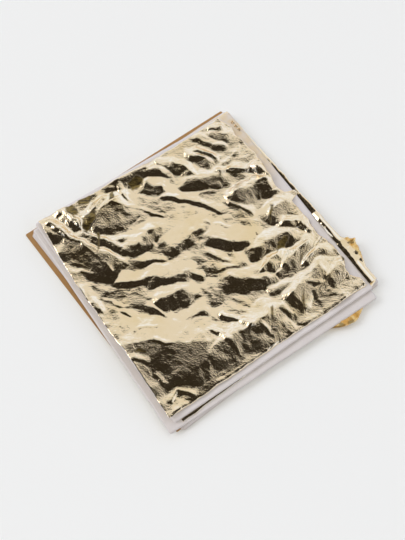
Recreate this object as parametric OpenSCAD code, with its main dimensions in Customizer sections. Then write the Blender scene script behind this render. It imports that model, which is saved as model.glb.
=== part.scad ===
// Loose pack of imitation gold leaf: crumpled metal leaves between tissues, on a kraft cover sheet.
// Millimetres, +Z up. The origin is the centre of the cover sheet's underside, which lies on the table.
// Sheets are numbered from the top of the pack down, and each one lies in a level of its own.

/* [Gold leaf] */
// Side of a flat, square leaf
leaf_side = 140; // [120:1:165]
// Thickness that stands in for the leaf's metal
leaf_t = 0.04; // [0.02:0.01:0.1]
// How far the edge of a leaf wanders in and out
leaf_ragged = 0.8; // [0.2:0.1:2]

/* [Tissue] */
// How much wider than a leaf a tissue is cut
tissue_spare_w = 1.6; // [0.2:0.1:20]
// How much longer than a leaf a tissue is cut
tissue_spare_l = 2.4; // [0.2:0.1:20]
// Thickness of a tissue
tissue_t = 0.06; // [0.03:0.01:0.15]
// Radius of a tissue's corners
tissue_r = 1; // [0.5:0.5:6]
// Height of the waves in the tissues at the top of the pack
tissue_wave = 0.25; // [0.1:0.05:0.6]
// How much narrower the roughly cut top tissue came out
top_tissue_short_w = 3.4; // [0:0.1:5]
// How much shorter the roughly cut top tissue came out
top_tissue_short_l = 1.2; // [0:0.1:5]

/* [Cover sheet] */
// How much wider than a tissue the kraft cover sheet is
cover_spare_w = 2.4; // [0.5:0.1:20]
// How much longer than a tissue the kraft cover sheet is
cover_spare_l = 1.6; // [0.5:0.1:20]
// Thickness of the kraft cover sheet
cover_t = 0.35; // [0.2:0.05:0.8]
// Radius of the cover sheet's corners
cover_r = 0.6; // [0.2:0.1:4]

/* [Top leaf] */
// How much narrower the crumpled top leaf is than a flat one
crumple_draw_w = 8; // [2:1:14]
// How much shorter the crumpled top leaf is than a flat one
crumple_draw_l = 2.5; // [0.5:0.5:8]
// How much narrower its far edge is than its near edge
crumple_taper = 6; // [0:1:12]
// How far the middle of its far edge is drawn in
far_bow = 2.3; // [0:0.1:6]
// How deep the tears in its right edge are
side_tear = 4; // [0.5:0.5:8]
// Height of a fold that is listed with a height of 1
fold_rise = 1.35; // [0.4:0.05:1.6]
// Height of the fine crinkles between the folds
crinkle_rise = 0.6; // [0.2:0.1:1.2]
// Height of the rims that curl up along the near and left edges
rim_rise = 1.1; // [0.3:0.1:2]
// Width of those rims
rim_w = 6; // [3:0.5:12]

/* [Leaves seen at the edges] */
// Height of the crumpled second leaf
second_rise = 0.7; // [0.3:0.1:1.2]
// Height of the crumpled third leaf
third_rise = 0.4; // [0.2:0.1:0.9]
// How far the second leaf's far left corner is drawn in
second_draw = 3; // [0:0.1:5]
// Place along Y, half width and reach of the torn fringe on the second leaf's right edge
fringe = [-48, 11, 6.5]; // [-60:0.5:60]
// Place along X, half width and reach of the torn tongue on the third leaf's near edge
tongue = [43, 30, 11.4]; // [-60:0.5:60]

/* [Flakes] */
// Size of a loose flake of leaf on the top tissue
flake_size = 2.6; // [1:0.2:4]
// Spread of the flakes along the tissue's right edge
flake_spread = 3.4; // [2.8:0.2:6]
// Bare tissue between the flakes and the tissue's right edge
flake_margin = 0.8; // [0.2:0.1:2]
// How far the flakes lie from the tissue's far edge
flake_from_far = 7; // [5:0.5:20]

/* [Pack] */
// Number of leaves, each on its tissue
leaf_count = 12; // [4:1:20]
// Clear height between one sheet and the next
sheet_gap = 0.02; // [0.01:0.01:0.1]
// X and Y by which the lower sheets lie off the middle of the cover sheet
pack_shift = [2, -2]; // [-3:0.1:3]
// How far each lower sheet has slipped from the others
pack_slip = 0.3; // [0:0.1:1.5]
// How many degrees the lower sheets have turned
pack_turn = 0.4; // [0:0.1:1]
// X, Y and degrees by which the top tissue has slipped and turned
tissue_1_slip = [1.4, -0.6, -2.5]; // [-6:0.1:6]
// X, Y and degrees by which the second tissue has slipped and turned
tissue_2_slip = [-0.9, -4.6, -3.4]; // [-6:0.1:6]
// X, Y and degrees by which the third tissue has slipped and turned
tissue_3_slip = [2.4, -1.9, 0.3]; // [-6:0.1:6]
// X, Y and degrees by which the top leaf has slipped and turned
leaf_1_slip = [-0.7, 1.2, -2.6]; // [-6:0.1:6]
// X, Y and degrees by which the second leaf has slipped and turned
leaf_2_slip = [3.3, -0.9, -0.3]; // [-6:0.1:6]
// X, Y and degrees by which the third leaf has slipped and turned
leaf_3_slip = [3.2, -0.6, -0.5]; // [-6:0.1:6]

/* [Hidden] */
kraft = [0.72, 0.52, 0.31];
tissue_white = [0.84, 0.82, 0.82];
gold = [0.87, 0.74, 0.46];
loose_count = 3;          // sheets of each kind at the top that have slipped by amounts of their own
tissue_w = leaf_side + tissue_spare_w;
tissue_l = leaf_side + tissue_spare_l;
cover_w = tissue_w + cover_spare_w;
cover_l = tissue_l + cover_spare_l;
top_cells = [34, 34];     // cells across and along each crumpled or wavy sheet
second_cells = [10, 42];
third_cells = [48, 6];
tissue_cells = [10, 10];
corner_steps = 5;         // straight steps round a corner
edge_steps = 11;          // points along one side of a lower leaf
fold_scale = leaf_side / 140; // the folds are listed for a leaf 140 wide

// Main folds of the top leaf: x and y of the crest's middle, its direction in degrees, its length,
// the widths of its steep near side and of its far side, and its height as a share of fold_rise
folds = [
    [-22, 28.5, -3, 42, 6.5, 8, 1.1],
    [-34, 37, -12, 18, 6, 4, 0.9],
    [-25, 16, -27, 22, 3.2, 6, 0.6],
    [0, 14.5, -2, 36, 5.5, 9, 0.9],
    [-36, 9, -26, 32, 4, 6, 0.8],
    [-21, 1, -22, 32, 6.5, 9, 1.2],
    [-57, 28, -38, 22, 5, 6, 0.8],
    [-49, 42, -62, 50, 16, 4, 2.3],
    [-38, 40, -58, 44, 11, 6, 1.7],
    [-61, 61, -72, 26, 5, 9, 2.3],
    [-50, 64, -78, 22, 3, 7, 1.8],
    [-27, 58, 4, 34, 18, 8, 2.5],
    [-2, 67.5, -14, 40, 9, 3, 1.8],
    [20, 61, -40, 14, 6, 4, 1.1],
    [26, 51, -68, 26, 6, 5, 1.4],
    [6, 53, -50, 18, 8, 8, 1.2],
    [39, 51, -52, 22, 6, 4, 1.2],
    [51, 58, -55, 24, 5, 4, 1.0],
    [59, 58, -45, 20, 6, 4, 1.0],
    [34, 40.5, -20, 36, 9, 6, 1.6],
    [52, 31, -55, 20, 6, 4, 0.9],
    [51, 19.5, -12, 34, 13, 5, 2.2],
    [38, 12, -66, 20, 3.4, 5, 0.9],
    [-27, -8, -8, 28, 9, 9, 1.5],
    [-25, -25.5, -12, 22, 5.5, 6, 0.9],
    [-63, -14, -60, 18, 6, 4, 0.9],
    [-46, -31, -35, 74, 31, 22, 2.7],
    [-12, -50, -3, 78, 15, 9, 2.5],
    [21, -3, -38, 36, 6.5, 15, 1.4],
    [13, -14.5, -8, 22, 6, 5, 0.8],
    [40, -16.5, -9, 38, 8, 13, 1.6],
    [14, -27, -40, 36, 9, 11, 1.6],
    [30, -27.5, 6, 24, 8, 5, 1.5],
    [56, -1, 12, 26, 9, 6, 1.8],
    [45, -31, 14, 34, 7, 5, 1.5],
    [52, -37, 8, 26, 9, 4, 1.9],
    [38, -47, 12, 48, 13, 7, 2.5],
    [56, -50, 10, 22, 10, 4, 1.9],
    [24, -42, -12, 22, 7, 4, 1.3]
];

function twoDigits(k) = k < 10 ? str("0", k) : str(k);
function leafName(k) = str("gold_leaf_", twoDigits(k));
function tissueName(k) = str("tissue_", twoDigits(k));

// Height of the level that each sheet needs above its own underside
function tissueLevel(k) = tissue_t + (k <= loose_count ? tissue_wave : 0);
function leafLevel(k) = leaf_t + (k == 2 ? second_rise : k == 3 ? third_rise : 0);

// Height of the underside of tissue k and of the leaf that lies on it
function tissueZ(k) = k == leaf_count ? cover_t + sheet_gap : leafZ(k + 1) + leafLevel(k + 1) + sheet_gap;
function leafZ(k) = tissueZ(k) + tissueLevel(k) + sheet_gap;

// Slip of a lower sheet, from its number and which kind it is
function lowerSlip(k, kind) = [
    pack_shift[0] + pack_slip * sin(137 * k + 50 * kind),
    pack_shift[1] + pack_slip * cos(101 * k + 80 * kind),
    pack_turn * sin(71 * k + 35 * kind)
];
function tissueSlip(k) = k <= loose_count ? [tissue_1_slip, tissue_2_slip, tissue_3_slip][k - 1]
    : lowerSlip(k, 0);
function leafSlip(k) = k <= loose_count ? [leaf_1_slip, leaf_2_slip, leaf_3_slip][k - 1]
    : lowerSlip(k, 1);

// A flat point slid and turned by a slip
function slid(p, slip) = [
    slip[0] + p[0] * cos(slip[2]) - p[1] * sin(slip[2]),
    slip[1] + p[0] * sin(slip[2]) + p[1] * cos(slip[2])
];

// Outline of a rectangle with round corners, as short straight steps
function roundedOutline(w, l, r) = [
    for (c = [0:3], s = [0:corner_steps])
        let (angle = 90 * c + 90 * s / corner_steps,
             cx = (c == 0 || c == 3 ? 1 : -1) * (w / 2 - r),
             cy = (c < 2 ? 1 : -1) * (l / 2 - r))
        [cx + r * cos(angle), cy + r * sin(angle)]
];

// How far a leaf's edge is torn inwards at t along side s of leaf k
function tear(k, s, t) =
    leaf_ragged * (0.5 + 0.5 * sin(t * 610 + 97 * k + 61 * s) * cos(t * 233 + 41 * k * s));

// Outline of a lower leaf, with its four torn sides
function leafOutline(k) = [
    for (s = [0:3], i = [0:edge_steps - 1])
        let (t = i / edge_steps,
             out = leaf_side / 2 - tear(k, s, t),
             run = (t - 0.5) * (leaf_side - 2 * leaf_ragged))
        [run * cos(90 * s) + out * sin(90 * s), run * sin(90 * s) - out * cos(90 * s)]
];

// 1 in the middle of a bump, falling smoothly to 0 at its half width
function bump(d, half) = abs(d) >= half ? 0 : 0.5 + 0.5 * cos(180 * d / half);

// 1 on the fold's line, falling straight to 0 at its half width
function crease(d, half) = max(0, 1 - abs(d) / half);

// Height of fold f at x, y: its near side rolls down from the crest, its far side is straight
function foldHeight(f, x, y) =
    let (dx = x / fold_scale - f[0],
         dy = y / fold_scale - f[1],
         along = dx * cos(f[2]) + dy * sin(f[2]),
         across = dy * cos(f[2]) - dx * sin(f[2]),
         side = across > 0 ? crease(across, f[5]) : 1 - pow(min(1, -across / f[4]), 1.4))
    fold_rise * f[6] * side * max(0, min(1, 2.2 - abs(4.4 * along / f[3])));

// Repeatable random heights from 0 to 1, one for each point of a grid
function grains(cells, seed) = rands(0, 1, (cells[0] + 1) * (cells[1] + 1), seed);

top_grains = grains(top_cells, 11);
second_grains = grains(second_cells, 23);
third_grains = grains(third_cells, 37);

// Point u, v of a sheet w by l, torn along its four sides, before it is slid and turned
function tornPoint(k, u, v, w, l) = [
    (u - 0.5) * (w - (u == 0 || u == 1 ? 2 * tear(k, 1, v) : 0)),
    (v - 0.5) * (l - (v == 0 || v == 1 ? 2 * tear(k, 2, u) : 0))
];

// How deep the top leaf's right edge is torn at v along it
function sideTear(v) = side_tear * pow(0.5 + 0.5 * sin(900 * v + 70) * cos(310 * v), 2);

// Height of the top leaf over x, y, from its folds, its crinkles and its curled rims
function topHeight(x, y, u, v, grain) =
    max([for (f = folds) foldHeight(f, x, y)]) + crinkle_rise * grain
    + rim_rise * max(crease(v * leaf_side, rim_w), crease(u * leaf_side, rim_w));

// Point of the top leaf's underside at u across and v along, from 0 to 1
function topSpot(u, v, grain) =
    let (w = leaf_side - crumple_draw_w + crumple_taper * (0.5 - v),
         l = leaf_side - crumple_draw_l,
         flat = tornPoint(1, u, v, w, l),
         p = slid([flat[0] - (u == 1 ? sideTear(v) : 0),
                   flat[1] - (v == 1 ? far_bow * sin(180 * u) : 0)], leaf_1_slip))
    [p[0], p[1], topHeight(p[0], p[1], u, v, grain)];

// Point of the second leaf's underside, with its fringe on the right edge
function secondSpot(u, v, grain) =
    let (flat = tornPoint(2, u, v, leaf_side, leaf_side),
         torn = 0.75 + 0.25 * sin(flat[1] * 50),
         drawn = second_draw * v * v * pow(1 - u, 2),
         out = u == 1 ? fringe[2] * torn * bump(flat[1] - fringe[0], fringe[1]) : 0,
         p = slid([flat[0] + drawn + out, flat[1]], leaf_2_slip))
    [p[0], p[1], second_rise * grain];

// Point of the third leaf's underside, with its tongue on the near edge
function thirdSpot(u, v, grain) =
    let (flat = tornPoint(3, u, v, leaf_side, leaf_side),
         torn = 0.92 + 0.08 * sin(flat[0] * 33),
         p = slid([flat[0],
                   flat[1] - (v == 0 ? tongue[2] * torn * bump(flat[0] - tongue[0], tongue[1]) : 0)],
             leaf_3_slip))
    [p[0], p[1], third_rise * grain];

// Point of wavy tissue k's underside, with its corners rounded by drawing them in
function tissueSpot(k, u, v) =
    let (corner = (u == 0 || u == 1) && (v == 0 || v == 1) ? tissue_r * (1 - sqrt(0.5)) : 0,
         w = tissue_w - (k == 1 ? top_tissue_short_w : 0),
         l = tissue_l - (k == 1 ? top_tissue_short_l : 0),
         p = slid([(u - 0.5) * (w - 2 * corner), (v - 0.5) * (l - 2 * corner)], tissueSlip(k)))
    [p[0], p[1], tissue_wave * (0.5 + 0.5 * sin(400 * u + 90 * k) * cos(330 * v + 60 * k))];

// Closed sheet t thick, from the points of its underside, row by row, on cells[0] by cells[1] cells
module sheet(under, cells, t) {
    side = cells[0] + 1;
    upper = side * (cells[1] + 1);
    rim = concat(
        [for (i = [0:cells[0] - 1]) i],
        [for (j = [0:cells[1] - 1]) cells[0] + j * side],
        [for (i = [0:cells[0] - 1]) upper - 1 - i],
        [for (j = [0:cells[1] - 1]) (cells[1] - j) * side]);
    halves = [
        for (j = [0:cells[1] - 1], i = [0:cells[0] - 1])
            let (a = i + j * side, b = a + 1, c = b + side, d = a + side)
            each (i + j) % 2 == 0 ? [[a, b, c], [a, c, d]] : [[a, b, d], [b, c, d]]
    ];
    walls = [
        for (i = [0:len(rim) - 1])
            let (a = rim[i], b = rim[(i + 1) % len(rim)])
            each [[a, a + upper, b + upper], [a, b + upper, b]]
    ];
    polyhedron(
        points = concat(under, [for (p = under) p + [0, 0, t]]),
        faces = concat(halves, [for (f = halves) [f[0] + upper, f[2] + upper, f[1] + upper]], walls));
}

// Crumpled leaf from its spot function and the random heights of its grid
module crumpledLeaf(cells, grid, spot) {
    sheet([for (j = [0:cells[1]], i = [0:cells[0]])
            spot(i / cells[0], j / cells[1], grid[i + j * (cells[0] + 1)])],
        cells, leaf_t);
}

module coverSheet() {
    color(kraft)
        linear_extrude(cover_t)
            polygon(roundedOutline(cover_w, cover_l, cover_r));
}

// Tissues at the top of the pack are wavy, and those pressed flat below are plates
module tissueSheet(k) {
    color(tissue_white)
        translate([0, 0, tissueZ(k)])
            if (k <= loose_count)
                sheet([for (j = [0:tissue_cells[1]], i = [0:tissue_cells[0]])
                        tissueSpot(k, i / tissue_cells[0], j / tissue_cells[1])],
                    tissue_cells, tissue_t);
            else
                linear_extrude(tissue_t)
                    polygon([for (p = roundedOutline(tissue_w, tissue_l, tissue_r))
                        slid(p, tissueSlip(k))]);
}

module goldLeaf(k) {
    color(gold)
        translate([0, 0, leafZ(k)])
            if (k == 1) crumpledLeaf(top_cells, top_grains, function (u, v, g) topSpot(u, v, g));
            else if (k == 2)
                crumpledLeaf(second_cells, second_grains, function (u, v, g) secondSpot(u, v, g));
            else if (k == 3)
                crumpledLeaf(third_cells, third_grains, function (u, v, g) thirdSpot(u, v, g));
            else linear_extrude(leaf_t) polygon([for (p = leafOutline(k)) slid(p, leafSlip(k))]);
}

// Loose flakes that lie on the top tissue's margin, near its far right corner
module leafFlakes() {
    corners = 7;
    right = (tissue_w - top_tissue_short_w) / 2 - flake_margin - flake_size / 2;
    far = (tissue_l - top_tissue_short_l) / 2 - flake_from_far;
    color(gold)
        for (f = [0:2])
            let (at = slid([right, far - f * flake_spread], tissue_1_slip))
            translate([at[0], at[1], leafZ(1)])
                linear_extrude(leaf_t)
                    polygon([
                        for (c = [0:corners - 1])
                            let (r = flake_size / 2 * (0.7 + 0.3 * sin(c * 130 + f * 80)))
                            r * [cos(c * 360 / corners), sin(c * 360 / corners)]
                    ]);
}

coverSheet();  // cover_sheet
for (k = [1:leaf_count]) {
    tissueSheet(k);
    goldLeaf(k);
}
leafFlakes();  // leaf_flakes
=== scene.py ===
import bmesh
import bpy
import math
import numpy as np
from mathutils import Matrix, Vector
from mathutils.geometry import delaunay_2d_cdt


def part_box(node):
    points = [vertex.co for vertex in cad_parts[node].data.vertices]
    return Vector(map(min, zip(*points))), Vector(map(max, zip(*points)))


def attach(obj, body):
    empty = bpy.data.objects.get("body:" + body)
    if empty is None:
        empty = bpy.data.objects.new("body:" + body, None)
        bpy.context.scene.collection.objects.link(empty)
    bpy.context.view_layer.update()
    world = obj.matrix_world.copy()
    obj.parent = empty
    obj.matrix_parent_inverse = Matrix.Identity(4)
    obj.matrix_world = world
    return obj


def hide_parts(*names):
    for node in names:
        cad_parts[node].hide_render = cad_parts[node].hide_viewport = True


# Loose pack of imitation gold leaf: crumpled metal leaves between tissues, on a kraft cover sheet.
# Shapes are worked out in millimetres, and scaled to metres when they go into a mesh.

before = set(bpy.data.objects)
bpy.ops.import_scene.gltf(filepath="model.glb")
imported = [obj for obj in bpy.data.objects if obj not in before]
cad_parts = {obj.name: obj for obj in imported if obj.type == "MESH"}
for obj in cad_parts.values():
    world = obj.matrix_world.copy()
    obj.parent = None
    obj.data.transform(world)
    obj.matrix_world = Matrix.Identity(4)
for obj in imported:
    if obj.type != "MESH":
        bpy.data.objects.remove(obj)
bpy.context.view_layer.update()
mm = 0.001

# Camera at the photograph's angle

cameraView = {
    "target": (-4.42, -7.13, 3.7),  # mm
    "azimuth": -45.77,              # degrees, 0 looks along +Y
    "elevation": 66.45,
    "roll": 8.57,
    "distance": 512.4,              # mm
    "lens": 60,
}


def turnedAxes(azimuth, elevation, roll):
    a, e, r = (math.radians(angle) for angle in (azimuth, elevation, roll))
    back = Vector((math.sin(a) * math.cos(e), -math.cos(a) * math.cos(e), math.sin(e)))
    right = Vector((math.cos(a), math.sin(a), 0))
    up = back.cross(right)
    return right * math.cos(r) + up * math.sin(r), up * math.cos(r) - right * math.sin(r), back


def makeCamera(view):
    right, up, back = turnedAxes(view["azimuth"], view["elevation"], view["roll"])
    camera = bpy.data.objects.new("camera", bpy.data.cameras.new("camera"))
    bpy.context.scene.collection.objects.link(camera)
    place = (Vector(view["target"]) + back * view["distance"]) * mm
    camera.matrix_world = Matrix.Translation(place) @ Matrix((right, up, back)).transposed().to_4x4()
    camera.data.lens = view["lens"]
    camera.data.clip_start = 0.01
    bpy.context.scene.camera = camera


makeCamera(cameraView)
print("camera placed")

# Materials

metalFinish = {
    "base": (0.90, 0.75, 0.52),     # pale brass leaf
    "warm": (0.87, 0.70, 0.43),     # where the alloy is thinner or tarnished
    "torn": (0.66, 0.36, 0.085),    # painted reflection and shade: orange of the torn strips outside the square, for their dim gold-on-gold light
    # paler painted orange, in patches on those strips
    "tornPale": (0.84, 0.62, 0.28),
    "paintedOliveReflection": (0.26, 0.185, 0.06),   # painted reflection: olive patches where the leaf would mirror itself
    # darker painted reflection, for the streaks in those patches
    "paintedOliveReflectionDark": (0.07, 0.05, 0.022),
    "paintedReflectionShare": 0.6,               # how metallic the patches of painted reflection, olive and torn, still are
    "roughness": (0.02, 0.06),
    "grains": (0.8, 0.1),           # size in mm and tilt of the finest facets
    "frontGrains": 0.88,            # share of that tilt on the slopes that face the camera
    "streaks": ((0.75, 0.04), (1.7, 0.06)),    # width in mm and tilt of the streaks
    "streakTurn": -38,              # their direction in degrees
    "streakLength": 2.6,            # their length in widths
    "calmShare": 0.15,              # share of all tilts left where the leaf is smooth
    "bend": (2.5, 0.5),             # size and reach, in mm, of the noise that moves the facets' outlines
    # size, detail and roughness of a noise, and its values at which the marks begin and are full
    "warmPatches": ((22, 4, 0.6), (0.45, 0.75)),
    # painted shade: darker streaks inside the patches of painted reflection
    "paintedReflectionStreaks": ((1.6, 4, 0.7), (0.42, 0.6)),
    # patches of the two painted oranges on the torn strips
    "rags": ((3, 3, 0.6), (0.4, 0.6)),
    "mattPatches": ((6, 3, 0.5), (0.3, 0.7)),
    "tornFrom": 0.6,                # mm inside the torn box's side at which the torn colour begins
    "tornFull": 0.9,                # mm outside it at which it is full
}
paperFinish = {
    "tissue": (0.745, 0.695, 0.68),
    "tissueShade": (0.665, 0.615, 0.60),
    "warm": (0.74, 0.60, 0.42),     # painted light: warm tint where the leaf below would show through the tissue
    "paintedShowThroughSoft": (2, 14),            # mm over which that begins, across and along
    "kraft": (0.43, 0.245, 0.10),
    "kraftDark": (0.33, 0.18, 0.068),
    "gloss": 0.25,
    "roughness": (0.7, 0.95),
    "relief": 0.6,                  # strength of the fibres' relief
    "stretch": 0.22,                # width of the fibres as a share of their length
    # size, detail and roughness of a noise, and its values at which the marks begin and are full
    "clouds": ((9, 4, 0.6), (0.35, 0.7)),
    "paintedShowThroughClouds": ((5, 3, 0.5), (0.35, 0.6)),
    "fibres": ((6, 0.7), (0.35, 0.65)),
    "least": (0.2, 0.4),            # least share of shade between fibres, and of the painted show-through between clouds
}


class Nodes:
    # Adds nodes to a node tree and links them, or sets the sockets that get a plain value

    def __init__(self, tree):
        self.tree = tree

    def add(self, kind, **inputs):
        node = self.tree.nodes.new(kind)
        for name, value in inputs.items():
            self.plug(node, name, value)
        return node

    def plug(self, node, name, value):
        byPlace = name[0] == "i" and name[1:].isdigit()
        self.connect(node.inputs[int(name[1:]) if byPlace else name], value)

    def connect(self, socket, value):
        if isinstance(value, bpy.types.NodeSocket):
            self.tree.links.new(value, socket)
        else:
            socket.default_value = value

    def math(self, operation, *values):
        node = self.add("ShaderNodeMath", **{f"i{k}": value for k, value in enumerate(values)})
        node.operation = operation
        return node.outputs[0]

    def vector(self, operation, *values):
        node = self.add("ShaderNodeVectorMath", **{f"i{k}": value for k, value in enumerate(values)})
        node.operation = operation
        return node.outputs["Value" if operation == "DOT_PRODUCT" else "Vector"]

    def span(self, value, low, high, fromLow=0.0, fromHigh=1.0, smooth=False):
        node = self.add("ShaderNodeMapRange", Value=value)
        node.interpolation_type = "SMOOTHSTEP" if smooth else "LINEAR"
        limits = {"From Min": fromLow, "From Max": fromHigh, "To Min": low, "To Max": high}
        for name, number in limits.items():
            node.inputs[name].default_value = number
        return node.outputs[0]

    def blend(self, share, first, second):
        node = self.add("ShaderNodeMix")
        node.data_type = "RGBA"
        self.connect(next(s for s in node.inputs if s.name == "Factor" and s.type == "VALUE"), share)
        for name, colour in (("A", first), ("B", second)):
            plain = not isinstance(colour, bpy.types.NodeSocket)
            socket = next(s for s in node.inputs if s.name == name and s.type == "RGBA")
            self.connect(socket, (*colour, 1) if plain else colour)
        return next(s for s in node.outputs if s.type == "RGBA")

    def attribute(self, name):
        node = self.add("ShaderNodeAttribute")
        node.attribute_name = name
        return node.outputs["Fac"]

    def noise(self, spot, size, detail=2.0, rough=0.5, output=0):
        # Noise with patches about size mm across: output 0 is one number, 1 is three
        scale = 1 / (size * mm)
        node = self.add("ShaderNodeTexNoise", Vector=spot, Scale=scale, Detail=detail, Roughness=rough)
        return node.outputs[output]

    def marks(self, spot, noise, limits, smooth=False):
        return self.span(self.noise(spot, *noise), 0, 1, *limits, smooth)


def newMaterial(name):
    material = bpy.data.materials.new(name)
    material.use_nodes = True
    tools = Nodes(material.node_tree)
    shader = material.node_tree.nodes["Principled BSDF"]
    spot = tools.add("ShaderNodeTexCoord").outputs["Object"]
    return material, tools, shader, spot


def facetHeight(tools, spot, size, tilt):
    # Pyramids of flat facets, as fine crinkles in foil are
    cells = tools.add("ShaderNodeTexVoronoi", Vector=spot, Scale=1 / (size * mm))
    cells.distance = "MANHATTAN"
    return tools.math("MULTIPLY", cells.outputs["Distance"], size * mm * tilt)


def makeMetal(name, finish, tornBox=None):
    material, tools, shader, spot = newMaterial(name)
    # finest facets and streaks, on places that wander a little
    size, reach = finish["bend"]
    shift = tools.vector("SUBTRACT", tools.noise(spot, size, 2, output=1), (0.5, 0.5, 0.5))
    bent = tools.vector("ADD", spot, tools.vector("MULTIPLY", shift, (reach * mm * 2,) * 3))
    along = tools.add("ShaderNodeMapping", Vector=bent)
    along.vector_type = "TEXTURE"
    along.inputs["Rotation"].default_value = (0, 0, math.radians(finish["streakTurn"]))
    along.inputs["Scale"].default_value = (finish["streakLength"], 1, 1)
    streaks = along.outputs[0]
    smooth = tools.attribute("smooth")
    height = facetHeight(tools, bent, *finish["grains"])
    height = tools.math("MULTIPLY", height, tools.span(smooth, 1, finish["frontGrains"]))
    streaky = tools.math("SUBTRACT", 1, smooth)
    for size, tilt in finish["streaks"]:
        streak = tools.math("MULTIPLY", streaky, facetHeight(tools, streaks, size, tilt))
        height = tools.math("ADD", height, streak)
    height = tools.math("MULTIPLY", height, tools.span(tools.attribute("crumple"), finish["calmShare"], 1))
    bump = tools.add("ShaderNodeBump", Height=height, Strength=1.0, Distance=1.0)
    # colours, with painted reflection on the marked patches and on the torn strips
    patches = tools.marks(spot, *finish["warmPatches"], True)
    colour = tools.blend(patches, finish["base"], finish["warm"])
    # painted reflection: olive where the leaf would mirror itself, darker in painted streaks
    paintedReflectionStreaks = tools.marks(streaks, *finish["paintedReflectionStreaks"], True)
    paintedReflection = tools.attribute("paintedOliveReflection")
    colour = tools.blend(paintedReflection, colour, tools.blend(paintedReflectionStreaks, finish["paintedOliveReflection"], finish["paintedOliveReflectionDark"]))
    # painted reflection and shade: orange on the torn strips outside the box
    if tornBox:
        x, y = tornBox
        begin, full = finish["tornFrom"], finish["tornFull"]
        parts = tools.add("ShaderNodeSeparateXYZ", Vector=bent)
        outX = tools.span(parts.outputs["X"], 0, 1, (x - begin) * mm, (x + full) * mm, True)
        outY = tools.span(parts.outputs["Y"], 1, 0, (y - full) * mm, (y + begin) * mm, True)
        outside = tools.math("MAXIMUM", outX, outY)
        rags = tools.marks(spot, *finish["rags"])
        colour = tools.blend(outside, colour, tools.blend(rags, finish["torn"], finish["tornPale"]))
        paintedReflection = tools.math("MAXIMUM", paintedReflection, outside)
    tools.plug(shader, "Base Color", colour)
    tools.plug(shader, "Metallic", tools.span(paintedReflection, 1, finish["paintedReflectionShare"]))
    noise, limits = finish["mattPatches"]
    tools.plug(shader, "Roughness", tools.span(tools.noise(spot, *noise), *finish["roughness"], *limits))
    tools.plug(shader, "Normal", bump.outputs[0])
    return material


def makePaper(name, finish, light, shade, fibre, fibreHeight, paintedShowThroughFrom=None):
    material, tools, shader, spot = newMaterial(name)
    stretch = tools.add("ShaderNodeMapping", Vector=spot)
    stretch.inputs["Scale"].default_value = (1, finish["stretch"], 1)
    noise, limits = finish["fibres"]
    leastShade, leastShowThrough = finish["least"]
    threads = tools.noise(stretch.outputs[0], fibre, *noise)
    darker = tools.span(threads, leastShade, 1, *limits)
    share = tools.math("MULTIPLY", tools.marks(spot, *finish["clouds"]), darker)
    colour = tools.blend(share, finish[light], finish[shade])
    if paintedShowThroughFrom:    # painted light: the leaf below showing through, as a warm tint
        parts = tools.add("ShaderNodeSeparateXYZ", Vector=spot)
        noise, limits = finish["paintedShowThroughClouds"]
        warm = tools.span(tools.noise(spot, *noise), leastShowThrough, 1, *limits)
        for axis, place, soft in zip("XY", paintedShowThroughFrom, finish["paintedShowThroughSoft"]):
            side = tools.span(parts.outputs[axis], 0, 1, (place - soft) * mm, (place + soft) * mm, True)
            warm = tools.math("MULTIPLY", warm, side)
        colour = tools.blend(warm, colour, finish["warm"])
    tools.plug(shader, "Base Color", colour)
    tools.plug(shader, "Roughness", tools.span(threads, *finish["roughness"]))
    tools.plug(shader, "Specular IOR Level", finish["gloss"])
    relief = finish["relief"]
    bump = tools.add("ShaderNodeBump", Height=threads, Strength=relief, Distance=fibreHeight * mm)
    tools.plug(shader, "Normal", bump.outputs[0])
    return material


# The torn box is the x and y, in mm, beyond which a leaf is torn and carries the painted orange. A paper
# has two colours, then the size and height of its fibres in mm, and last the x and y beyond which the leaf
# below shows through as a painted warm tint.
leafMetal = makeMetal("leafMetal", metalFinish)
secondMetal = makeMetal("secondLeafMetal", metalFinish, tornBox=(74.3, -200))
thirdMetal = makeMetal("thirdLeafMetal", metalFinish, tornBox=(200, -73.5))
tissuePaper = makePaper("tissuePaper", paperFinish, "tissue", "tissueShade", 0.5, 0.03)
topPaper = makePaper("topTissuePaper", paperFinish, "tissue", "tissueShade", 0.5, 0.03, (66, 20))
kraftPaper = makePaper("kraftPaper", paperFinish, "kraft", "kraftDark", 0.8, 0.06)
print("materials made")

# Sheets, from a flat grid whose vertices are moved

sheetShape = {
    "foldPower": 1.4,       # how round the near side of a fold is
    "foldEnds": 2.2,        # how short a fold's tapering ends are
    "edgeBlur": 1.5,        # mm over which a fold's slopes begin
    "reach": 92,            # mm from the middle to which the facets go
    "spread": 130,          # mm to which the lattice goes before it is turned
}


def softNoise(x, y, size, seed):
    # Smooth random heights from -1 to 1, with bumps about size mm across
    table = np.random.default_rng(seed).uniform(-1, 1, (64, 64))
    gx, gy = x / size + 32, y / size + 32
    ix, iy = np.floor(gx).astype(int), np.floor(gy).astype(int)
    fx, fy = gx - ix, gy - iy
    fx, fy = fx * fx * (3 - 2 * fx), fy * fy * (3 - 2 * fy)
    near = table[ix % 64, iy % 64] * (1 - fx) + table[(ix + 1) % 64, iy % 64] * fx
    far = table[ix % 64, (iy + 1) % 64] * (1 - fx) + table[(ix + 1) % 64, (iy + 1) % 64] * fx
    return near * (1 - fy) + far * fy


def rough(x, size, seed, layers=3):
    # Ragged line: noise along one direction, from -1 to 1
    waves = (softNoise(x, 0 * x + 7.3 * k, size / 2 ** k, seed + k) / 2 ** k for k in range(layers))
    return sum(waves) / 1.75


def smoothStep(low, high, value):
    t = np.clip((value - low) / (high - low), 0, 1)
    return t * t * (3 - 2 * t)


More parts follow.
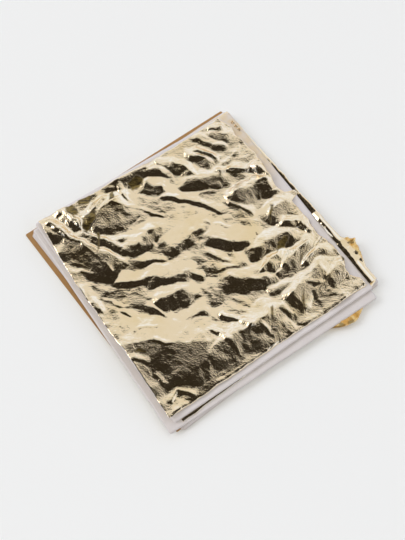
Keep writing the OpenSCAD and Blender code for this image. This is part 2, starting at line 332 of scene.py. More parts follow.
def slid(x, y, slip):
    # Places moved by a slip: turned by its third number, in degrees, then shifted by its first two
    a = math.radians(slip[2])
    return slip[0] + x * math.cos(a) - y * math.sin(a), slip[1] + x * math.sin(a) + y * math.cos(a)


def foldPlace(x, y, fold):
    # How far along and across the fold's line each place lies, and its share of the height there
    px, py, turn, length = fold[:4]
    along, across = slid(x - px, y - py, (0, 0, -turn))
    ends = sheetShape["foldEnds"]
    return across, np.clip(ends - abs(2 * ends * along / length), 0, 1)


def foldHeight(x, y, fold):
    # Ridge with a rolled front, on the near side of its line, and a straight back
    front, back, rise = fold[4:]
    across, inside = foldPlace(x, y, fold)
    rolled = 1 - np.clip(-across / front, 0, 1) ** sheetShape["foldPower"]
    return rise * inside * np.where(across < 0, rolled, np.clip(1 - across / back, 0, 1))


def foldSlopes(x, y, fold):
    # 1 on the near slope and on the back slope of the fold, each falling to 0 round it
    front, back, rise = fold[4:]
    across, inside = foldPlace(x, y, fold)
    near = np.clip(np.minimum(-across, front + across) / sheetShape["edgeBlur"], 0, 1)
    far = np.clip(np.minimum(across, back - across) / sheetShape["edgeBlur"], 0, 1)
    return inside * near, inside * far * smoothStep(0.12, 0.24, rise / back)


def facets(x, y, layer, share, seed):
    # Heights of a net of flat triangles, from -1 to 1 times its rise, between points scattered on a lattice
    wide, narrow, turn, rise = layer
    spread, reach = sheetShape["spread"], sheetShape["reach"]
    random = np.random.default_rng(seed)
    across, along = np.arange(-spread, spread, narrow), np.arange(-spread, spread, wide)
    px, py = (axis.ravel() for axis in np.meshgrid(along, across))
    everyOther = np.arange(len(px)) // len(along) % 2
    px = px + random.uniform(-0.5, 0.5, px.shape) * wide + wide / 2 * everyOther
    py = py + random.uniform(-0.5, 0.5, py.shape) * narrow
    px, py = slid(px, py, (0, 0, turn))
    inside = (abs(px) < reach) & (abs(py) < reach)
    px, py = px[inside], py[inside]
    tops = random.uniform(-1, 1, px.shape) * rise * share(px, py)
    net = delaunay_2d_cdt([Vector(spot) for spot in zip(px, py)], [], [], 0, 1e-6)[2]
    # the sheet's vertices, sorted into squares so that each triangle looks at few of them
    square = 3.0
    squares = {}
    cells = (np.floor(axis / square).astype(int).tolist() for axis in (x, y))
    for k, cell in enumerate(zip(*cells)):
        squares.setdefault(cell, []).append(k)
    height = np.zeros_like(x)
    for a, b, c in net:
        ax, ay, bx, by, cx, cy = px[a], py[a], px[b], py[b], px[c], py[c]
        columns = range(int(min(ax, bx, cx) // square), int(max(ax, bx, cx) // square) + 1)
        rows = range(int(min(ay, by, cy) // square), int(max(ay, by, cy) // square) + 1)
        here = [k for i in columns for j in rows for k in squares.get((i, j), ())]
        area = (bx - ax) * (cy - ay) - (cx - ax) * (by - ay)
        if not here or abs(area) < 1e-9:
            continue
        here = np.array(here)
        second = ((x[here] - ax) * (cy - ay) - (cx - ax) * (y[here] - ay)) / area
        third = ((bx - ax) * (y[here] - ay) - (x[here] - ax) * (by - ay)) / area
        within = (second >= 0) & (third >= 0) & (second + third <= 1)
        level = tops[a] + (tops[b] - tops[a]) * second + (tops[c] - tops[a]) * third
        height[here[within]] = level[within]
    return height


def gridSheet(name, cells):
    # Flat grid over the unit square, and the place of each vertex across and along it
    bm = bmesh.new()
    bmesh.ops.create_grid(bm, x_segments=cells[0], y_segments=cells[1], size=0.5)
    mesh = bpy.data.meshes.new(name)
    bm.to_mesh(mesh)
    bm.free()
    piece = bpy.data.objects.new(name, mesh)
    bpy.context.scene.collection.objects.link(piece)
    spots = np.empty(len(mesh.vertices) * 3)
    mesh.vertices.foreach_get("co", spots)
    spots = spots.reshape(-1, 3)
    return piece, spots[:, 0] + 0.5, spots[:, 1] + 0.5


def placeSheet(piece, x, y, z, thickness, material):
    # Moves the grid's vertices to places in mm and gives the sheet its thickness
    spots = np.stack([x, y, z], 1) * mm
    piece.data.vertices.foreach_set("co", spots.ravel())
    piece.data.polygons.foreach_set("use_smooth", np.ones(len(piece.data.polygons), bool))
    piece.data.update()
    piece.data.materials.append(material)
    thick = piece.modifiers.new("thickness", "SOLIDIFY")
    thick.thickness, thick.offset = thickness * mm, 1.0


def markSheet(piece, name, values):
    # Number at each vertex, which the metal's material reads
    mark = piece.data.attributes.new(name, "FLOAT", "POINT")
    mark.data.foreach_set("value", np.clip(values, 0, 1).astype(np.float32))


def finishSheet(piece, node, body):
    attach(piece, body)
    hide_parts(node)
    print(node, "made")


# Top leaf

leafSide = 140
topLeaf = {
    "cells": (218, 218),
    "drawW": 8,                     # mm by which the crumpling draws its width in
    "drawL": 2.5,                   # and its length
    "taper": 6,                     # mm by which its far side is narrower than its near side
    "farBow": 2.3,                  # mm by which the middle of its far side is drawn in
    "leftBulge": 1.8,               # how far the left edge still stands out in the middle of its far part
    "edgeRough": 0.6,               # mm of raggedness of the edges
    "tearRough": 0.8,               # and of the torn right edge
    "slip": (-0.7, 1.2, -2.6),      # mm, mm and degrees
    "thickness": 0.04,
    "level": 0.27,                  # mm of height of its flat parts over the tissue
    "rimRise": 1.1,                 # how high the left and near rims curl
    "rimWidth": 6,
    "foldShare": 1.35,              # share of the folds' listed heights that is built
    "creaseShare": 0.6,             # and of the creases'
    "frontCalm": 0.75,              # share by which the facets are lower on the folds' slopes
    "smoothFront": 0.85,            # share of the streaks that the near slopes lose
    "quiet": 0.45,                  # share of the finest facets away from the slopes and crumpled corners
    # size and reach, in mm, of the noise that bends the folds
    "wander": ((13, 1.6), (6, 1.1), (2.6, 0.5)),
    # x, y, direction, half length and half width of the smooth places
    "calm": [
        (8, 26, 0, 15, 13), (-45, 17, -20, 24, 7), (-55, -3, 80, 14, 6), (-40, -21, -20, 15, 6),
        (-12, 35, -8, 24, 4), (-14, 20, -10, 14, 4), (12, 47, -60, 15, 6), (31, -3, -35, 18, 6),
        (48, 2, 0, 12, 4), (44, -24, 12, 15, 3), (-8, 0, -30, 9, 4), (-12, -15, -20, 8, 4),
    ],
    # length, width, direction and rise of each net of facets: main ones, near right corner, far left corner
    "facets": [
        [(18, 7, -28, 0.8), (9, 2.6, -38, 0.42), (4.2, 1.5, -30, 0.12)],
        [(12, 3.4, 30, 0.5), (5, 1.8, 24, 0.15)],
        [(12, 3.2, -78, 0.25), (5, 1.8, -60, 0.08)],
    ],
    # x, y of the crest's middle, its direction, length, front and back width, height
    "folds": [
        (-22, 28.5, -3, 42, 6.5, 8, 1.1),
        (-34, 37, -12, 18, 6, 4, 0.9),
        (-25, 16, -27, 22, 3.2, 6, 0.6),
        (0, 14.5, -2, 36, 5.5, 9, 0.9),
        (-36, 9, -26, 32, 4, 6, 0.8),
        (-21, 1, -22, 32, 6.5, 9, 1.2),
        (-57, 28, -38, 22, 5, 6, 0.8),
        (-49, 42, -62, 50, 16, 4, 2.3),
        (-40, 42, -58, 36, 11, 3.5, 1.7),
        (-58, 60, -72, 28, 9, 8, 2.5),
        (-47, 64, -78, 26, 8, 5, 2.0),
        (-27, 58, 4, 34, 18, 8, 2.5),
        (-2, 67.5, -14, 40, 9, 3, 1.8),
        (20, 61, -40, 14, 6, 4, 1.1),
        (26, 51, -68, 26, 6, 5, 1.4),
        (6, 53, -50, 18, 8, 8, 1.2),
        (13, 35, -38, 30, 1.8, 5, 0.5),
        (23.5, 22, -68, 22, 2.4, 5, 0.6),
        (39, 51, -52, 22, 6, 4, 1.2),
        (44.5, 49, -60, 14, 5, 4, 0.9),
        (51, 58, -55, 24, 5, 4, 1.0),
        (59, 58, -45, 20, 6, 4, 1.0),
        (66, 48, -50, 14, 5, 2, 0.8),
        (34, 40.5, -20, 36, 9, 6, 1.6),
        (28, 44, -40, 14, 6, 3, 0.9),
        (54, 41.5, 15, 18, 2.2, 3, 0.5),
        (52, 31, -55, 20, 6, 4, 0.9),
        (51, 19.5, -12, 34, 13, 5, 2.2),
        (38, 12, -66, 20, 3.4, 5, 0.9),
        (66, 29, -20, 10, 6, 3, 0.9),
        (12, 17, -38, 16, 2.5, 4, 0.5),
        (-27, -8, -8, 28, 9, 9, 1.5),
        (-39, -13, -63, 20, 3.6, 5, 0.8),
        (-25, -25.5, -12, 22, 5.5, 6, 0.9),
        (-52, -5, -72, 16, 2.4, 4, 0.5),
        (-9, -7, -50, 12, 3, 4, 0.6),
        (-63, -14, -60, 18, 6, 4, 0.9),
        (-46, -31, -35, 74, 31, 20, 2.6),
        (-12, -50, -3, 78, 15, 11, 2.4),
        (-28, -38, -30, 12, 6, 4, 0.9),
        (-9, -39, -60, 14, 4, 3, 0.9),
        (21, -3, -38, 36, 6.5, 15, 1.4),
        (10, -8, -42, 28, 3, 5, 0.6),
        (13, -14.5, -8, 22, 6, 5, 0.8),
        (40, -16.5, -9, 38, 9, 8, 1.9),
        (14, -27, -40, 36, 9, 11, 1.6),
        (30, -27, 6, 24, 8, 4, 1.8),
        (56, -1, 12, 26, 9, 6, 1.8),
        (45, -30.5, 14, 34, 8, 4, 1.9),
        (52, -37, 8, 26, 9, 4, 1.9),
        (38, -47, 12, 48, 13, 7, 2.5),
        (56, -50, 10, 22, 11, 4, 2.3),
        (8, -51, 62, 14, 5, 4, 1.0),
        (24, -42, -12, 22, 7, 4, 1.3),
        (62, -56, 60, 16, 4, 3, 0.9),
        (60, -33, 20, 14, 5, 3, 1.1),
        (46, -40, 12, 18, 5, 3, 1.3),
        (34, -35, -14, 16, 5, 3, 1.1),
        (44, -55, 14, 18, 5, 3, 1.2),
        (30, -53, 16, 14, 5, 3, 1.1),
        (58, 9, -16, 14, 5, 3, 1.0),
        (9, 62, -24, 26, 8, 3, 1.6),
    ],
    # narrow ridges that catch the light: x, y, direction, length, width of each side, height
    "creases": [
        (-56, 60, -68, 26, 2.5, 4.5, 2.9),
        (-45, 62, -78, 20, 2.0, 3.5, 2.4),
        (-28, 62.5, 15, 16, 2.0, 4.5, 2.8),
        (-12, 59, -78, 18, 1.2, 3.2, 1.6),
        (-17, 53, -52, 18, 1.0, 1.6, 0.5),
        (-6, 39, -52, 20, 1.2, 1.8, 0.6),
        (-51, 41, -75, 22, 1.0, 1.2, 0.5),
        (-48, 26, -80, 12, 1.0, 1.2, 0.4),
        (-60, 36, -65, 12, 1.0, 1.2, 0.4),
        (-66, 10, -80, 14, 3.0, 3.0, 1.8),
        (-57, 8, -42, 26, 1.0, 1.4, 0.5),
        (8, 40, -38, 14, 1.2, 2.2, 0.8),
        (43, 52, -52, 18, 1.4, 2.4, 2.0),
        (60, 63, -45, 12, 3.0, 4.0, 3.2),
        (62, 43, 40, 12, 1.5, 2.0, 0.7),
        (47, 37, -30, 12, 1.5, 3.0, 2.1),
        (57, 30, -40, 22, 3.0, 4.5, 3.6),
        (63, 22, -60, 14, 2.5, 3.5, 2.8),
        (22, 8, -38, 16, 1.0, 1.6, 0.5),
        (57, -15, -40, 20, 3.5, 4.5, 3.7),
        (60, -22, -70, 10, 2.0, 3.0, 2.4),
        (38, -40, 20, 10, 1.5, 2.0, 0.8),
        (43, -52, -35, 10, 1.5, 2.0, 0.8),
        (19, -56, -70, 12, 3.0, 3.0, 1.8),
        (3, -57, -80, 12, 1.2, 1.6, 1.1),
        (-20, -44, -65, 16, 1.5, 2.2, 1.4),
        (-4, -47, -60, 12, 2.0, 3.0, 1.8),
        (-12, -46, 70, 10, 1.2, 1.5, 0.6),
        (-62, -57.5, 34, 10, 0.8, 2.2, 1.6),
        (-55, -58, -37, 12, 0.8, 2.6, 1.6),
        (-63, -46, -60, 12, 1.5, 2.0, 0.8),
        (-66, -30, -55, 14, 2.0, 2.5, 0.9),
        (-50, -17, -30, 14, 1.2, 1.8, 0.6),
        (-20, -17, 20, 8, 1.2, 1.8, 0.5),
    ],
    # corners of the patches of painted olive reflection, anticlockwise
    "paintedOliveReflection": [
        [(-46, 72), (-46, 65), (-39, 64.5), (-37.5, 68.5), (-41, 72)],
        [(-36, 71), (-37, 68), (-32, 66.5), (-28.5, 69), (-30, 71.5)],
        [(-41, 60), (-43.5, 49), (-34, 53.5), (-31.5, 58), (-33.5, 61)],
        [(-38.5, 47), (-48.5, 34), (-43, 38.5), (-36.5, 46)],
        [(-18.5, 65), (-21.5, 59.5), (-18, 59.8), (-15, 65.5)],
        [(-8, 63), (-7, 57), (0, 55.5), (3, 59), (-1, 64)],
        [(37, -24.5), (42, -25.5), (49, -20.5), (47, -19), (40, -21)],
        [(45.5, -8.5), (48, -7.5), (54.5, 0.5), (53, 1.5), (48, -3)],
        [(25, -60.5), (27.5, -58.5), (35, -50.5), (32, -52), (27, -56)],
        [(39, -60.5), (43, -58.5), (52, -53), (58, -50), (50, -52.5), (42, -57)],
        [(41, -38), (46, -35.5), (58, -32.5), (52, -32), (44, -34.5)],
        [(7, -58), (9.5, -57), (13, -50), (10.5, -50.5)],
        [(62.5, -50), (66, -51), (66.5, -46), (64, -46)],
        [(-66, -24), (-62, -30), (-59, -28), (-62, -23)],
    ],
    # y and depth of the tears and tabs in the right edge
    "rightEdge": [
        (-72, 1), (-65, 1.3), (-60, -3), (-55, -1.9), (-50, 2), (-40, 1), (-30, -1), (-20, 0.4), (-10, 0.4),
        (-3.5, 0.4), (-1.5, 6.8), (1.5, 6), (3.5, 0), (10, -1.8), (17, -0.6), (25, 1.2), (35, 1.9),
        (50, 0.7), (58, 1.4), (66, -0.9),
    ],
}


def grows(value, start, reach):
    return np.clip((value - start) / reach, 0, 1)


def topShare(x, y):
    # Heavily crumpled on the right and at the near, left and far left parts, smooth in the calm ovals
    zones = [grows(x + 0.2 * y, 22, 14), grows(-y, 36, 8), grows(-x, 58, 6), farLeft(x, y)]
    share = 0.75 + 0.4 * np.maximum.reduce(zones)
    for cx, cy, turn, long, wide in topLeaf["calm"]:
        ox, oy = slid(x - cx, y - cy, (0, 0, -turn))
        share = share * (1 - 0.8 * np.clip(1.6 - 1.6 * np.hypot(ox / long, oy / wide), 0, 1))
    return share


def farLeft(x, y):
    return grows(-x, 22, 12) * grows(y, 24, 12)


def nearRight(x, y):
    return grows(x, 16, 14) * grows(-y, 18, 10)


def insideOutline(x, y, corners):
    # How many mm inside the outline each place lies, negative outside
    inside = np.full_like(x, 9)
    for (ax, ay), (bx, by) in zip(corners, corners[1:] + corners[:1]):
        long = math.hypot(bx - ax, by - ay)
        inside = np.minimum(inside, ((bx - ax) * (y - ay) - (by - ay) * (x - ax)) / long)
    return inside


def topOutline(u, v, values):
    # Places of the grid's vertices on the drawn-in square with its torn edges
    w = leafSide - values["drawW"] + values["taper"] * (0.5 - v)
    l = leafSide - values["drawL"]
    x, y = (u - 0.5) * w, (v - 0.5) * l
    y = y - values["farBow"] * np.sin(np.pi * u) * smoothStep(0.85, 1, v)
    x, y = slid(x, y, values["slip"])
    tears = np.interp(y, *np.array(values["rightEdge"]).T)
    x += smoothStep(0.94, 1, u) * (tears + values["tearRough"] * rough(y, 5, 3))
    x += values["edgeRough"] * smoothStep(0.03, 0, u) * rough(y, 7, 5)
    bulge = np.sin(np.pi * np.clip((v - 0.25) / 0.8, 0, 1))
    x -= values["leftBulge"] * smoothStep(0.12, 0, u) * bulge
    farEdge, nearEdge = smoothStep(0.97, 1, v) * rough(x, 6, 8), smoothStep(0.03, 0, v) * rough(x, 8, 9)
    y += values["edgeRough"] * (farEdge + nearEdge)
    return x, y


def makeTopLeaf(values):
    piece, u, v = gridSheet("topLeaf", values["cells"])
    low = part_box("gold_leaf_01")[0].z / mm
    x, y = topOutline(u, v, values)
    # folds, on places that wander a little so that no fold is a ruled line
    wx, wy = x, y
    for k, (size, reach) in enumerate(values["wander"]):
        wx, wy = wx + reach * softNoise(x, y, size, 21 + k), wy + reach * softNoise(x, y, size, 26 + k)
    height, front, behind = np.zeros_like(x), np.zeros_like(x), np.zeros_like(x)
    for fold in values["folds"]:
        rise = values["foldShare"] * foldHeight(wx, wy, fold)
        near, far = foldSlopes(wx, wy, fold)
        behind = np.where(rise > height, far, behind)
        height, front = np.maximum(height, rise), np.maximum(front, near)
    for crease in values["creases"]:
        height += values["creaseShare"] * foldHeight(wx, wy, crease)
    # nets of facets, lower on the slopes so that these stay clean
    even = 1 - values["frontCalm"] * np.maximum(front, behind)
    for k, (layers, share) in enumerate(zip(values["facets"], (topShare, nearRight, farLeft))):
        for m, layer in enumerate(layers):
            height += even * facets(x, y, layer, share, 41 + 5 * k + m)
    # left and near rims, of which the near one rolls over
    inNear, inLeft = v * leafSide, u * leafSide
    roll = 0.1 + 0.9 * smoothStep(0, 1.5 + 0.6 * softNoise(x, y, 7, 32), inNear)
    rim = np.maximum(roll * (1 - inNear / values["rimWidth"]), 1 - inLeft / values["rimWidth"])
    height += values["rimRise"] * np.clip(rim, 0, 1) * (0.8 + 0.4 * softNoise(x, y, 16, 31))
    lowest = 0.02
    height = np.maximum(height + values["level"], lowest)
    placeSheet(piece, x, y, low + height, values["thickness"], leafMetal)
    # marks for the metal's material, among them the patches of painted reflection
    zones = [farLeft(x, y), nearRight(x, y), 0.9 * grows(x, 34, 14), 0.6 * front]
    busy = np.maximum.reduce(zones) * (1 - 0.6 * behind)
    quiet = values["quiet"] * (1 + 0.5 * softNoise(x, y, 12, 33))
    markSheet(piece, "crumple", (topShare(x, y) - 0.2) / 0.6 * (quiet + (1 - quiet) * busy))
    paintedOliveReflection = [insideOutline(wx, wy, corners) for corners in values["paintedOliveReflection"]]
    markSheet(piece, "paintedOliveReflection", np.maximum.reduce(paintedOliveReflection) / 0.6)
    markSheet(piece, "smooth", values["smoothFront"] * front)
    print("top leaf is", round(height.max(), 2), "mm high")
    return piece


finishSheet(makeTopLeaf(topLeaf), "gold_leaf_01", "leaf_sheet_01")

# Second and third leaves, of which the edges show

secondLeaf = {
    "cells": (150, 190),
    "slip": (3.3, -0.9, -0.3),
    "thickness": 0.04,
    "draw": 3,                      # mm by which its far left corner is drawn in
    "edgeRough": 0.5,
    # y and reach of the torn fringe
    "fringe": [
        (-60, 0), (-57, 1.6), (-54.5, 2.0), (-53, 3.4), (-50, 3.6), (-48, 5.2), (-46.5, 4.6), (-44.5, 6.0),
        (-43.2, 6.9), (-42.3, 6.7), (-42, 4.4), (-41, 3.4), (-40.2, 3.6), (-39.4, 3.0), (-39, 1.2),
        (-37, 0),
    ],
    "level": 0.62,                  # mm of height under the top tissue
    "lip": 2.1,                     # mm by which its right rim curls up beyond the top tissue
    "tissueEdge": (70.35, 0.0436),  # x of the top tissue's right edge, and its change for each mm of y
    "rolls": (-14, -24),            # y from which the rim rolls up, and at which it does so fully
    "slopes": (30, 18),             # and y of its slope at the other end
}
thirdLeaf = {
    "cells": (150, 130),
    "slip": (3.2, -0.6, -0.5),
    "thickness": 0.04,
    "edgeRough": 0.5,
    "tongue": (43, 30, 11.4),       # x, half width and reach of the torn tongue
    "level": 0.34,
}
# length, width, direction and rise of their nets of facets
edgeFacets = [(16, 7, -35, 0.5), (5, 2.6, 20, 0.3), (2, 1.4, -10, 0.15)]


def evenShare(x, y):
    return np.ones_like(x)


def swell(distance, half):
    # Smooth hump: 1 in the middle, 0 from half a width away
    return 0.5 + 0.5 * np.cos(np.pi * np.clip(distance / half, -1, 1))


def leafHeight(x, y, values, seed, nearFlat=False):
    # Net of facets, and the heights that it gives the sheet under the others
    net = sum(facets(x, y, layer, evenShare, seed + k) for k, layer in enumerate(edgeFacets))
    if nearFlat:
        net *= 1 - smoothStep(-62, -66, y)
    return net, values["level"] * np.clip(0.45 + net / 1.4, 0.02, 0.98)


def makeSecondLeaf(values):
    piece, u, v = gridSheet("secondLeaf", values["cells"])
    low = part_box("gold_leaf_02")[0].z / mm
    x, y = (u - 0.5) * leafSide, (v - 0.5) * leafSide
    # torn fringe at the right, ragged edges, far left corner drawn in
    outer = smoothStep(0.955, 1, u)
    reach = np.interp(y, *np.array(values["fringe"]).T)
    torn = np.clip(reach / 3, 0, 1)
    x += outer * (reach + torn * 0.5 * rough(y, 1.2, 52, 2) + 0.4 * rough(y, 5, 53))
    x += values["draw"] * v ** 2 * (1 - u) ** 2
    x -= values["edgeRough"] * smoothStep(0.03, 0, u) * (rough(y, 6, 55) - 1)
    y += values["edgeRough"] * (smoothStep(0.97, 1, v) - smoothStep(0.03, 0, v)) * (rough(x, 6, 56) - 1)
    x, y = slid(x, y, values["slip"])
    height = leafHeight(x, y, values, 57, nearFlat=True)[1]
    # beyond the tissue its right rim rolls up, and farther back it only slopes up
    edge, lean = values["tissueEdge"]
    beyond = x - (edge + lean * y)
    near = smoothStep(*values["rolls"], y)
    lift = values["lip"] * (1 + 0.25 * softNoise(x, y, 9, 58))
    rolled = smoothStep(0, 0.9, beyond) * (1 - 0.5 * smoothStep(0.8, 5.0, beyond))
    sloping = 0.9 * smoothStep(0, 5.5, beyond) * smoothStep(*values["slopes"], y)
    height += lift * (near * rolled + (1 - near) * sloping)
    height += smoothStep(0.6, 1.6, beyond) * (0.3 - 0.2 * near) * abs(softNoise(x, y, 2.6, 60))
    height += torn * outer * 0.8 * softNoise(x, y, 2.0, 61)
    placeSheet(piece, x, y, low + np.maximum(height, 0.0), values["thickness"], secondMetal)
    return piece


def makeThirdLeaf(values):
    piece, u, v = gridSheet("thirdLeaf", values["cells"])
    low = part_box("gold_leaf_03")[0].z / mm
    x, y = (u - 0.5) * leafSide, (v - 0.5) * leafSide
    # torn tongue at the near edge, ragged edges
    at, half, reach = values["tongue"]
    outer = smoothStep(0.08, 0, v)
    torn = swell(x - at, half)
    y -= outer * (reach * torn * (1 + 0.1 * rough(x, 4, 62, 4)) + 0.4 * rough(x, 6, 63))
    x += values["edgeRough"] * (smoothStep(0.97, 1, u) - smoothStep(0.03, 0, u)) * (rough(y, 6, 64) - 1)
    x, y = slid(x, y, values["slip"])
    net, height = leafHeight(x, y, values, 65)
    height += smoothStep(-77, -79, y) * torn * (0.5 + 0.5 * net + 0.35 * softNoise(x, y, 2.2, 68))
    placeSheet(piece, x, y, low + height, values["thickness"], thirdMetal)
    return piece


second, third = makeSecondLeaf(secondLeaf), makeThirdLeaf(thirdLeaf)
finishSheet(second, "gold_leaf_02", "leaf_sheet_02")
finishSheet(third, "gold_leaf_03", "leaf_sheet_03")

# Tissues at the top of the pack

tissues = {
    "cells": (110, 110),
    "flat": (141.6, 142.4),
    "thickness": 0.06,
    "wave": 0.25,                   # mm of height of its waves
    "corner": 1.0,                  # radius
    "uneven": 0.25,                 # mm by which its edges are cut unevenly
    # name, how much narrower and shorter it was cut, its slip, its paper and what it rests on
    "sheets": {
        1: ("topTissue", (3.4, 1.2), (1.4, -0.6, -2.5), topPaper, "secondLeaf"),
        2: ("secondTissue", (0, 0), (-0.9, -4.6, -3.4), tissuePaper, "thirdLeaf"),
        3: ("thirdTissue", (0, 0), (2.4, -1.9, 0.3), tissuePaper, "gold_leaf_04"),
    },
}


def unevenEdge(share, along, seed):
    # Raggedness of the two edges at the ends of share, which runs from 0 to 1
    far = smoothStep(0.9, 1, share) * rough(along, 18, seed)
    return far + smoothStep(0.1, 0, share) * rough(along, 18, seed + 5)


def makeTissue(k, values):
    name, short, slip, paper, below = values["sheets"][k]
    w, l = (side - off for side, off in zip(values["flat"], short))
    piece, u, v = gridSheet(name, values["cells"])
    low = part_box(f"tissue_{k:02d}")[0].z / mm
    x, y = (u - 0.5) * w, (v - 0.5) * l
    # corners rounded by drawing them in, edges cut a little unevenly
    r = values["corner"]
    cx, cy = np.maximum(abs(x) - w / 2 + r, 0), np.maximum(abs(y) - l / 2 + r, 0)
    over = np.maximum(np.hypot(cx, cy) / r, 1)
    x, y = x - np.sign(x) * (cx - cx / over), y - np.sign(y) * (cy - cy / over)
    x += values["uneven"] * unevenEdge(u, y, 70 + k)
    y += values["uneven"] * unevenEdge(v, x, 80 + k)
    x, y = slid(x, y, slip)
    wave = 0.5 + 0.32 * softNoise(x, y, 26, 90 + k) + 0.18 * softNoise(x, y, 9, 95 + k)
    placeSheet(piece, x, y, low + values["wave"] * np.clip(wave, 0, 1), values["thickness"], paper)
    finishSheet(piece, f"tissue_{k:02d}", f"tissue_sheet_{k:02d}")


for k in tissues["sheets"]:
    makeTissue(k, tissues)

# Loose flakes on the top tissue

flakeValues = {
    "count": 3,
    "size": 2.6,                    # of the largest, in mm
    "reach": 0.58,                  # radius of a flake as a share of its size
    "lobes": (0.2, 0.12),           # depth of its three wide and seven narrow lobes
    "thickness": 0.04,
    "cells": 13,
    "rise": 1.1,                    # mm of height of its curls
}


def makeFlakes(values):
    low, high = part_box("leaf_flakes")
    cells, wide, narrow = values["cells"], *values["lobes"]
    first = Vector(((low.x + high.x) / 2 / mm, low.y / mm + values["size"] / 2, low.z / mm))
    gap = ((high.y - low.y) / mm - values["size"]) / (values["count"] - 1)
    bm = bmesh.new()
    random = np.random.default_rng(12)
    for k in range(values["count"]):
        made = bmesh.ops.create_grid(bm, x_segments=cells, y_segments=cells, size=0.5)["verts"]
        centre = first + Vector((0, gap * k, 0))
        size = values["size"] * (0.75 + 0.25 * random.random())
        turn = random.uniform(0, 3)
        for vert in made:
            a = math.atan2(vert.co.y, vert.co.x)
            edge = 0.8 + wide * math.sin(3 * a + turn) + narrow * math.sin(7 * a)
            r = size * values["reach"] * max(abs(vert.co.x), abs(vert.co.y)) * 2 * edge
            rise = values["rise"] * abs(math.sin(5 * vert.co.x + turn) * math.cos(4 * vert.co.y + turn))
            vert.co = (centre + Vector((r * math.cos(a + turn), r * math.sin(a + turn), rise))) * mm
    mesh = bpy.data.meshes.new("looseFlakes")
    bm.to_mesh(mesh)
    bm.free()
    piece = bpy.data.objects.new("looseFlakes", mesh)
    bpy.context.scene.collection.objects.link(piece)
    mesh.materials.append(leafMetal)
    thick = piece.modifiers.new("thickness", "SOLIDIFY")
    thick.thickness, thick.offset = values["thickness"] * mm, 1.0
    return piece


flakes = makeFlakes(flakeValues)
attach(flakes, "tissue_sheet_01")
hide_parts("leaf_flakes")
print("flakes made")

# Lower sheets and the cover, which keep the frame's meshes

for name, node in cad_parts.items():
    if not node.hide_render:
        kind, number = name.rsplit("_", 1)
        finish = {"cover": kraftPaper, "tissue": tissuePaper}.get(kind, leafMetal)
        for slot in node.material_slots:
            slot.material = finish
        if kind == "cover":
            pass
        else:
            below = f"tissue_{number}" if kind == "gold_leaf" else f"gold_leaf_{int(number) + 1:02d}"
            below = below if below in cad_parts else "cover_sheet"
print("lower sheets finished")

# Floor, world and lamps

studio = {
    "floorSize": 6000,              # mm
    "floorDrop": 0.05,              # mm by which it lies under the pack
    "floor": (0.925, 0.928, 0.92),
    "floorShade": (0.908, 0.911, 0.904),
    "floorShare": 0.06,             # most of the shade that is mixed in
    "roof": (0.84, 0.84, 0.84),     # light from above, which the flat leaf mirrors
    "ring": (0.96, 1.09, 1.40),     # cooler and brighter light from all sides
    "ringFrom": (0.62, 0.48),       # sine of the elevation at which the roof turns into the ring
    "pale": (0.89, 0.89, 0.89),     # horizon
    "horizon": (0.24, 0.12),        # sine of the elevation at which the ring turns into the horizon
    # dark patch overhead, which the slopes that face the camera mirror, and the lighter spots in it
    "shade": (0.030, 0.025, 0.019),
    "shadeLight": (0.46, 0.46, 0.47),
    "shadeSpots": 90,               # size of the spots, in thousandths of a radian
    "spotsFrom": (0.61, 0.83),      # noise at which they begin and are full
    "shadeWay": (-0.347, -0.338, 0.875),    # direction of the patch's middle
    "shadeEdge": (0.612, 0.675),    # cosine of the angle from its middle at which it begins and is full
    # name, direction, elevation in degrees, distance and size in mm, radiance, colour,
    # and whether the leaf mirrors it
    "lamps": [
        ("leftSoftbox", (-0.6975, 0.7166), 30, 12000, 5200, 5.0, (1, 1, 1), True),
        ("overheadFill", (-0.7166, -0.6975), 72, 12000, 9000, 2.35, (1, 0.93, 0.78), False),
    ],
}


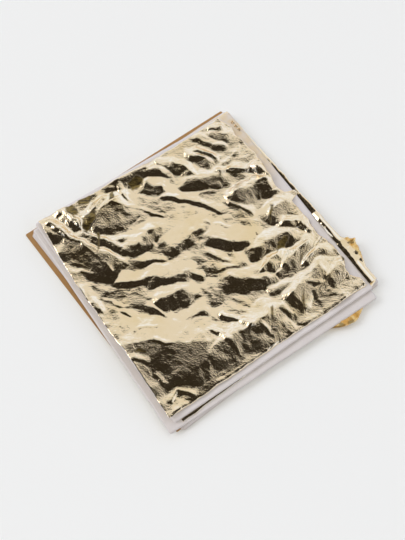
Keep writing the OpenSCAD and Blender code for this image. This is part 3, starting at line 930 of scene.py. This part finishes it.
def makeFloor(values):
    material, tools, shader, spot = newMaterial("paleFloor")
    shade = tools.span(tools.noise(spot, 40, 2), 0, values["floorShare"])
    tools.plug(shader, "Base Color", tools.blend(shade, values["floor"], values["floorShade"]))
    tools.plug(shader, "Roughness", 1.0)
    tools.plug(shader, "Specular IOR Level", 0.0)
    bm = bmesh.new()
    bmesh.ops.create_grid(bm, x_segments=1, y_segments=1, size=values["floorSize"] / 2 * mm)
    bmesh.ops.translate(bm, verts=bm.verts, vec=(0, 0, -values["floorDrop"] * mm))
    mesh = bpy.data.meshes.new("floor")
    bm.to_mesh(mesh)
    bm.free()
    mesh.materials.append(material)
    floor = bpy.data.objects.new("floor", mesh)
    bpy.context.scene.collection.objects.link(floor)


def makeWorld(values):
    world = bpy.data.worlds.new("studio")
    world.use_nodes = True
    bpy.context.scene.world = world
    tools = Nodes(world.node_tree)
    way = tools.add("ShaderNodeTexCoord").outputs["Generated"]
    height = tools.add("ShaderNodeSeparateXYZ", Vector=way).outputs["Z"]
    ring = tools.span(height, 0, 1, *values["ringFrom"], True)
    colour = tools.blend(ring, values["roof"], values["ring"])
    colour = tools.blend(tools.span(height, 0, 1, *values["horizon"], True), colour, values["pale"])
    middle = tools.vector("DOT_PRODUCT", way, values["shadeWay"])
    spots = tools.span(tools.noise(way, values["shadeSpots"], 2), 0, 1, *values["spotsFrom"])
    shade = tools.blend(spots, values["shade"], values["shadeLight"])
    colour = tools.blend(tools.span(middle, 0, 1, *values["shadeEdge"], True), colour, shade)
    background = world.node_tree.nodes["Background"]
    tools.plug(background, "Color", colour)
    tools.plug(background, "Strength", 1.0)


def makeLamp(name, way, elevation, distance, size, radiance, colour, mirrored):
    lamp = bpy.data.lights.new(name, "AREA")
    lamp.size, lamp.color = size * mm, colour
    lamp.energy = radiance * math.pi * (size * mm) ** 2
    e = math.radians(elevation)
    place = Vector((way[0] * math.cos(e), way[1] * math.cos(e), math.sin(e)))
    piece = bpy.data.objects.new(name, lamp)
    piece.location = place * distance * mm
    piece.rotation_euler = place.to_track_quat("Z", "Y").to_euler()
    piece.visible_glossy = mirrored
    bpy.context.scene.collection.objects.link(piece)


makeFloor(studio)
makeWorld(studio)
for lampValues in studio["lamps"]:
    makeLamp(*lampValues)
bpy.context.scene.view_settings.view_transform = "Standard"
print("studio set")
